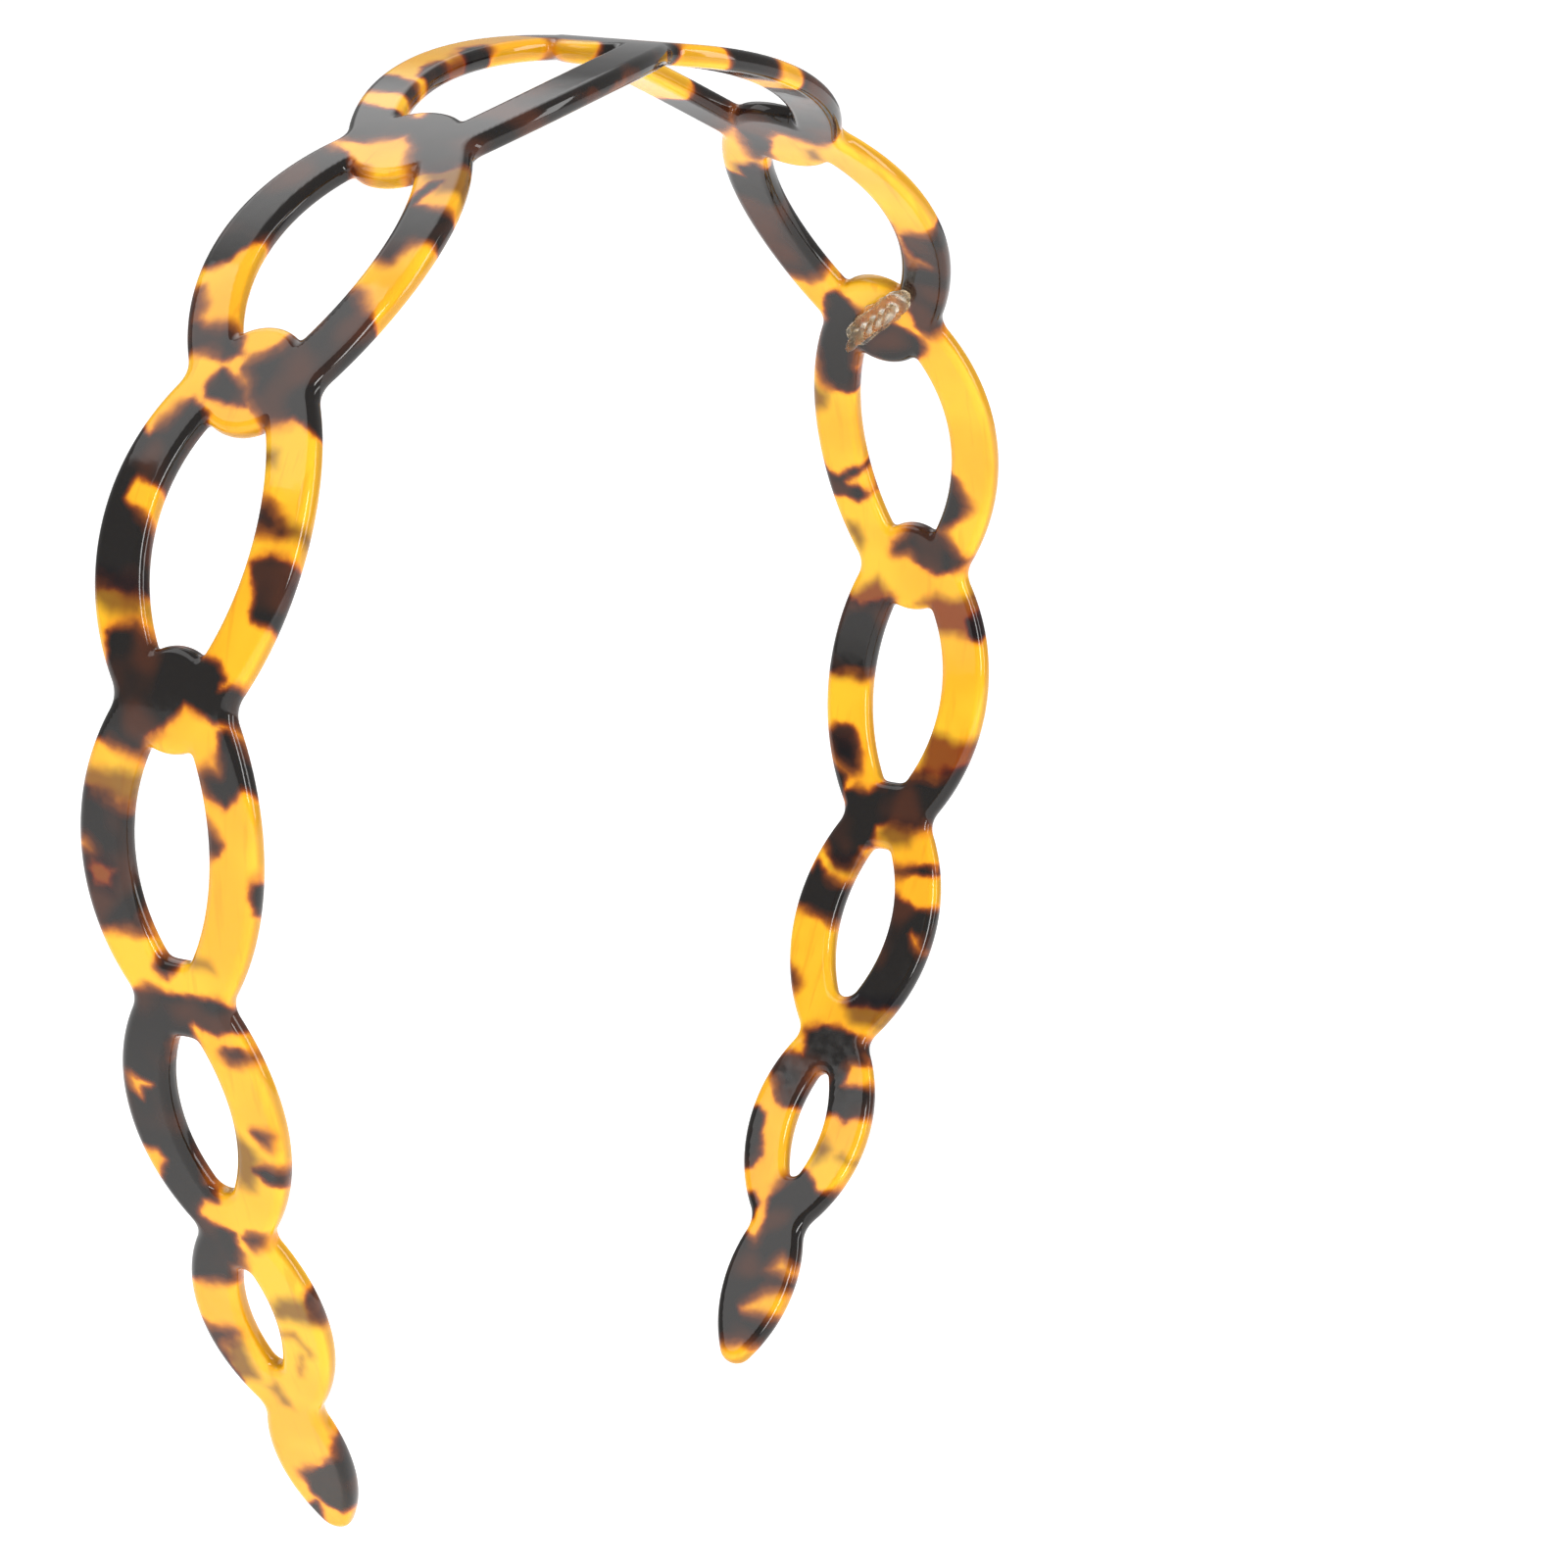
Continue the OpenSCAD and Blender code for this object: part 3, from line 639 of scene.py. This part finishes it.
# ---------------------------------------------------------------------------------------------
# Materials
# ---------------------------------------------------------------------------------------------
def material(name):
    """A new node material: itself, its node tree and its shader."""
    mat = bpy.data.materials.new(name)
    mat.use_nodes = True
    return mat, mat.node_tree, mat.node_tree.nodes["Principled BSDF"]


def add_node(tree, kind, **values):
    """A node with its sockets set by name, or by number as in _0. A socket given is linked."""
    node = tree.nodes.new(kind)
    for key, value in values.items():
        socket = node.inputs[int(key[1:])] if key[0] == "_" else node.inputs[key.replace("_", " ")]
        if isinstance(value, bpy.types.NodeSocket):
            tree.links.new(value, socket)
        else:
            socket.default_value = value
    return node


def attribute(tree, name, output="Fac"):
    node = tree.nodes.new("ShaderNodeAttribute")
    node.attribute_name = name
    return node.outputs[output]


def math_node(tree, operation, a, b):
    node = add_node(tree, "ShaderNodeMath", _0=a, _1=b)
    node.operation = operation
    return node.outputs[0]


def noise(tree, vector, scale, detail=2.0, roughness=0.5):
    node = add_node(tree, "ShaderNodeTexNoise", Vector=vector, Scale=scale, Detail=detail,
                    Roughness=roughness)
    return node.outputs["Fac"]


def map_range(tree, value, low, high, to_low=0.0, to_high=1.0, smooth=True):
    node = add_node(tree, "ShaderNodeMapRange", _0=value, _1=low, _2=high, _3=to_low, _4=to_high)
    if smooth:
        node.interpolation_type = "SMOOTHSTEP"
    return node.outputs[0]


def mix_colour(tree, factor, a, b, blend="MIX"):
    """Colour a going to colour b as the factor goes from 0 to 1."""
    node = tree.nodes.new("ShaderNodeMix")
    node.data_type = "RGBA"
    node.blend_type = blend
    for index, value in ((0, factor), (6, a), (7, b)):
        if isinstance(value, bpy.types.NodeSocket):
            tree.links.new(value, node.inputs[index])
        elif index:
            node.inputs[index].default_value = (*value, 1)
        else:
            node.inputs[index].default_value = value
    return node.outputs[2]


def ramp(tree, value, stops):
    """A colour ramp of (place, colour) stops."""
    node = add_node(tree, "ShaderNodeValToRGB", _0=value)
    elements = node.color_ramp.elements
    while len(elements) < len(stops):
        elements.new(0.5)
    for element, (place, colour) in zip(elements, stops):
        element.position = place
        element.color = (*colour, 1)
    return node.outputs[0]


BLACK = (0.012, 0.010, 0.009)
UMBER = (0.060, 0.016, 0.007)
EMBER = (0.085, 0.024, 0.010)
DEEP_RED = (0.17, 0.034, 0.007)
RUST = (0.42, 0.10, 0.007)
ORANGE = (0.88, 0.27, 0.009)
AMBER = (1.0, 0.46, 0.012)
PALE_AMBER = (1.0, 0.56, 0.020)
DEEP_AMBER = (0.93, 0.33, 0.008)
# Amber darkened by painted shade, for the cut walls
SHADED_WALL_AMBER = (0.55, 0.26, 0.006)
BROWN = (0.24, 0.065, 0.009)
TAN = (0.70, 0.235, 0.010)
# Thin pigment over amber lets through this much red, green and blue
HAZE = (0.20, 0.15, 0.45)
RED_HAZE = (0.22, 0.07, 0.20)
CLEAR, WARM_CLEAR = (0.97, 0.94, 0.88), (0.93, 0.87, 0.76)
BEIGE, AMBER_GLUE, BUBBLE = (0.97, 0.86, 0.66), (0.93, 0.66, 0.34), (1.0, 0.97, 0.90)


def centred(tree, value, amount):
    """A 0 to 1 value as an offset of up to half the amount either way."""
    return math_node(tree, "MULTIPLY", math_node(tree, "SUBTRACT", value, 0.5), amount)


def stretched(tree, vector, scale):
    """Texture coordinates scaled by axis, so that a noise is drawn out along the small ones."""
    node = add_node(tree, "ShaderNodeVectorMath", _0=vector, _1=scale)
    node.operation = "MULTIPLY"
    return node.outputs[0]


def tortoiseshell():
    """Polished acetate: amber with blotches of dark pigment that have thin rust-red rims, and
    painted shade on the cut walls.
    """
    mat, tree, shader = material("tortoiseshell")
    sheet = attribute(tree, "sheet", "Vector")
    # Edges: small bays and nicks
    bays = centred(tree, noise(tree, sheet, 0.7, 1), 0.7)
    nicks = centred(tree, noise(tree, sheet, 2.2, 2), 0.22)
    edge = math_node(tree, "ADD", attribute(tree, "blotch"), math_node(tree, "ADD", bays, nicks))
    # Some edges are crisp with a red rim, others fade through olive
    softness = map_range(tree, noise(tree, sheet, 0.17, 1), 0.44, 0.60)
    fade = map_range(tree, softness, 0, 1, 0.95, 2.0, smooth=False)
    place = map_range(tree, math_node(tree, "DIVIDE", edge, fade), -1, 1, smooth=False)
    # Amber: broad clouds and thin drawn-out streaks, darkened on the cut walls by painted shade
    clouds = map_range(tree, noise(tree, sheet, 0.10, 2), 0.35, 0.65)
    amber = mix_colour(tree, clouds, PALE_AMBER, AMBER)
    drawn = stretched(tree, sheet, (0.12, 1.1, 0.9))
    streak = map_range(tree, noise(tree, drawn, 0.9, 3), 0.54, 0.72, 0, 0.45)
    amber = mix_colour(tree, streak, amber, DEEP_AMBER)
    # Painted shade: the amber goes darker as the surface turns into a wall
    cut = map_range(tree, attribute(tree, "wall"), 0.25, 0.95, 0, 0.9)
    amber = mix_colour(tree, cut, amber, SHADED_WALL_AMBER)
    crisp = ramp(tree, place, [(0.0, BLACK), (0.30, BLACK), (0.42, UMBER), (0.52, DEEP_RED),
                               (0.62, RUST), (0.76, ORANGE), (0.97, AMBER)])
    soft = ramp(tree, place, [(0.0, BLACK), (0.20, BLACK), (0.36, UMBER), (0.52, BROWN),
                              (0.70, TAN), (0.95, AMBER)])
    pigment = mix_colour(tree, softness, crisp, soft)
    colour = mix_colour(tree, map_range(tree, place, 0.60, 0.95), pigment, amber)
    # The dark is thinner in places and glows red-brown there
    thin = map_range(tree, noise(tree, sheet, 0.16, 1), 0.48, 0.70, 0, 0.75)
    colour = mix_colour(tree, thin, colour, EMBER, "LIGHTEN")
    for name, tint, most in (("haze", HAZE, 0.9), ("rust", RED_HAZE, 0.95)):
        cloud = math_node(tree, "ADD", attribute(tree, name), bays)
        thickness = map_range(tree, cloud, 0.9, -1.0, 0, most)
        filter_tint = mix_colour(tree, thickness, (1, 1, 1), tint)
        colour = mix_colour(tree, 1.0, colour, filter_tint, "MULTIPLY")
    tree.links.new(colour, shader.inputs["Base Color"])
    # Tumble polish: faint waves, hairline scratches
    waves = noise(tree, sheet, 0.3, 2)
    grain = stretched(tree, sheet, (0.35, 3.2, 0.5))
    hairs = map_range(tree, noise(tree, grain, 2.4, 4), 0.66, 0.72)
    height = math_node(tree, "ADD", waves, math_node(tree, "MULTIPLY", hairs, -0.008))
    bump = add_node(tree, "ShaderNodeBump", Strength=0.05, Distance=0.0004, Height=height)
    tree.links.new(bump.outputs[0], shader.inputs["Normal"])
    polish = map_range(tree, noise(tree, sheet, 0.8, 3), 0.3, 0.7, 0.045, 0.11)
    tree.links.new(polish, shader.inputs["Roughness"])
    shader.inputs["IOR"].default_value = 1.48
    shader.inputs["Specular IOR Level"].default_value = 0.48
    shader.inputs["Subsurface Weight"].default_value = 0.08
    shader.inputs["Subsurface Radius"].default_value = (1.0, 0.45, 0.1)
    shader.inputs["Subsurface Scale"].default_value = 0.0012
    return mat


def clear_plastic():
    """Clear moulded plastic with a faint warm cast and flow marks."""
    mat, tree, shader = material("clear_comb")
    local = attribute(tree, "local", "Vector")
    tint = map_range(tree, noise(tree, local, 0.5, 2), 0.35, 0.7)
    tree.links.new(mix_colour(tree, tint, CLEAR, WARM_CLEAR), shader.inputs["Base Color"])
    flow = noise(tree, local, 1.4, 2)
    bump = add_node(tree, "ShaderNodeBump", Strength=0.08, Distance=0.0002, Height=flow)
    tree.links.new(bump.outputs[0], shader.inputs["Normal"])
    tree.links.new(map_range(tree, flow, 0.3, 0.7, 0.20, 0.38), shader.inputs["Roughness"])
    shader.inputs["Transmission Weight"].default_value = 1.0
    shader.inputs["IOR"].default_value = 1.3
    shader.inputs["Specular IOR Level"].default_value = 0.3
    return mat


def set_adhesive():
    """Set glue: beige to amber, cloudy, with small bubbles."""
    mat, tree, shader = material("adhesive")
    local = attribute(tree, "local", "Vector")
    cloud = map_range(tree, noise(tree, local, 0.9, 4), 0.38, 0.62)
    body = mix_colour(tree, cloud, BEIGE, AMBER_GLUE)
    cells = add_node(tree, "ShaderNodeTexVoronoi", Vector=local, Scale=2.3)
    bubble = map_range(tree, cells.outputs["Distance"], 0.12, 0.22, 1, 0)
    tree.links.new(mix_colour(tree, bubble, body, BUBBLE), shader.inputs["Base Color"])
    lumps = math_node(tree, "ADD", noise(tree, local, 1.8, 3), bubble)
    bump = add_node(tree, "ShaderNodeBump", Strength=0.09, Distance=0.0002, Height=lumps)
    tree.links.new(bump.outputs[0], shader.inputs["Normal"])
    tree.links.new(map_range(tree, cloud, 0, 1, 0.08, 0.22), shader.inputs["Roughness"])
    shader.inputs["Transmission Weight"].default_value = 0.9
    shader.inputs["IOR"].default_value = 1.2
    return mat


FLOOR_LIFT = 0.6  # a little glow, so that the floor stays near white


def pale_floor():
    mat, tree, shader = material("pale_floor")
    place = add_node(tree, "ShaderNodeNewGeometry").outputs["Position"]
    tone = map_range(tree, noise(tree, place, 3.0, 2), 0.3, 0.7)
    tree.links.new(mix_colour(tree, tone, (0.80, 0.80, 0.80), (0.82, 0.82, 0.82)),
                   shader.inputs["Base Color"])
    shader.inputs["Roughness"].default_value = 0.9
    shader.inputs["Specular IOR Level"].default_value = 0.0
    shader.inputs["Emission Color"].default_value = (1, 1, 1, 1)
    shader.inputs["Emission Strength"].default_value = FLOOR_LIFT
    return mat


# ---------------------------------------------------------------------------------------------
# Pieces
# ---------------------------------------------------------------------------------------------
def dress(obj, mat, node):
    """Give a piece its material, and let it stand for its CAD node."""
    obj.data.materials.append(mat)
    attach(obj, "root")
    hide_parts(node)


dress(band(), tortoiseshell(), "band")
comb_plastic = clear_plastic()
glue = set_adhesive()
for side_name, side in (("right", 1.0), ("left", -1.0)):
    dress(comb(f"clear_comb_{side_name}", side), comb_plastic, f"comb_{side_name}")
    pad = adhesive(f"set_adhesive_{side_name}", side, GLUE_SEEDS[side_name])
    dress(pad, glue, f"adhesive_{side_name}")


# ---------------------------------------------------------------------------------------------
# Floor, studio light and camera
# ---------------------------------------------------------------------------------------------
FLOOR_SIZE = 12.0
FLOOR_GAP = 0.0002
WORLD_LEVEL = 0.40
# The glow's brightness, its direction, and the cosine where it has faded out
GLOW_LEVEL = 2.3
GLOW_SIDE = (0.36, 0.50, 0.79)
GLOW_EDGE = 0.88


def floor():
    half = FLOOR_SIZE / 2
    z = CAD_BOX[0][2] - FLOOR_GAP
    corners = np.array([(-half, -half, z), (half, -half, z), (half, half, z), (-half, half, z)])
    obj = mesh_object("floor", corners, np.array([[0, 1, 2, 3]]))
    obj.data.materials.append(pale_floor())


def studio_world():
    """Even pale light, with one broad soft glow from above and behind."""
    world = bpy.data.worlds.new("studio")
    bpy.context.scene.world = world
    world.use_nodes = True
    tree = world.node_tree
    direction = add_node(tree, "ShaderNodeTexCoord").outputs["Generated"]
    facing = add_node(tree, "ShaderNodeVectorMath", _0=direction, _1=GLOW_SIDE)
    facing.operation = "DOT_PRODUCT"
    level = map_range(tree, facing.outputs["Value"], GLOW_EDGE, 1.0, WORLD_LEVEL, GLOW_LEVEL)
    background = tree.nodes["Background"]
    background.inputs["Color"].default_value = (1, 1, 1, 1)
    tree.links.new(level, background.inputs["Strength"])


def direction_to(azimuth, elevation):
    """Unit vector towards a place seen from the object. Azimuth 0 is the front, 90 the right."""
    a, e = math.radians(azimuth), math.radians(elevation)
    return Vector((math.sin(a) * math.cos(e), -math.cos(a) * math.cos(e), math.sin(e)))


def softbox(name, azimuth, elevation, distance, width, height, strength):
    """An area light that faces the middle of the headband, with a strength per square metre."""
    back = direction_to(azimuth, elevation)
    aim = Vector((0, 0, (CAD_BOX[0][2] + CAD_BOX[1][2]) / 2))
    light = bpy.data.lights.new(name, "AREA")
    light.shape = "RECTANGLE"
    light.size, light.size_y = width, height
    light.energy = strength * width * height
    obj = bpy.data.objects.new(name, light)
    obj.visible_camera = False
    bpy.context.scene.collection.objects.link(obj)
    turn = back.to_track_quat("Z", "Y").to_matrix().to_4x4()
    obj.matrix_world = Matrix.Translation(aim + distance * back) @ turn


CAMERA_AZ, CAMERA_EL, CAMERA_ROLL = -60.5, 9.64, 2.93
CAMERA_DIST = 0.5718
SENSOR = 36.0
CAMERA_LENS = 130.3
# The view's middle: a point on the object's axis, then moved across and up the view
AIM = Vector((0, 0, -0.0788))
AIM_RIGHT, AIM_UP = 0.0208, 0.0076


def camera():
    """The camera, looking at the aim point and rolled a little."""
    a, r = math.radians(CAMERA_AZ), math.radians(CAMERA_ROLL)
    back = direction_to(CAMERA_AZ, CAMERA_EL)
    right = Vector((math.cos(a), math.sin(a), 0))
    up = back.cross(right)
    rolled_right = right * math.cos(r) + up * math.sin(r)
    rolled_up = up * math.cos(r) - right * math.sin(r)
    cam = bpy.data.cameras.new("camera")
    cam.lens = CAMERA_LENS
    cam.sensor_width = SENSOR
    cam.clip_start = 0.01
    obj = bpy.data.objects.new("camera", cam)
    bpy.context.scene.collection.objects.link(obj)
    place = Matrix((rolled_right, rolled_up, back)).transposed().to_4x4()
    place.translation = AIM + AIM_RIGHT * right + AIM_UP * up + CAMERA_DIST * back
    obj.matrix_world = place
    bpy.context.scene.camera = obj


floor()
studio_world()
softbox("key", azimuth=-36, elevation=24, distance=1.2, width=0.2, height=0.8, strength=38)
softbox("side_strip", azimuth=20, elevation=22, distance=1.1, width=0.24, height=0.8, strength=16)
softbox("back_fill", azimuth=-134, elevation=48, distance=1.2, width=0.9, height=0.6, strength=5.5)
camera()
bpy.context.scene.view_settings.view_transform = "Standard"
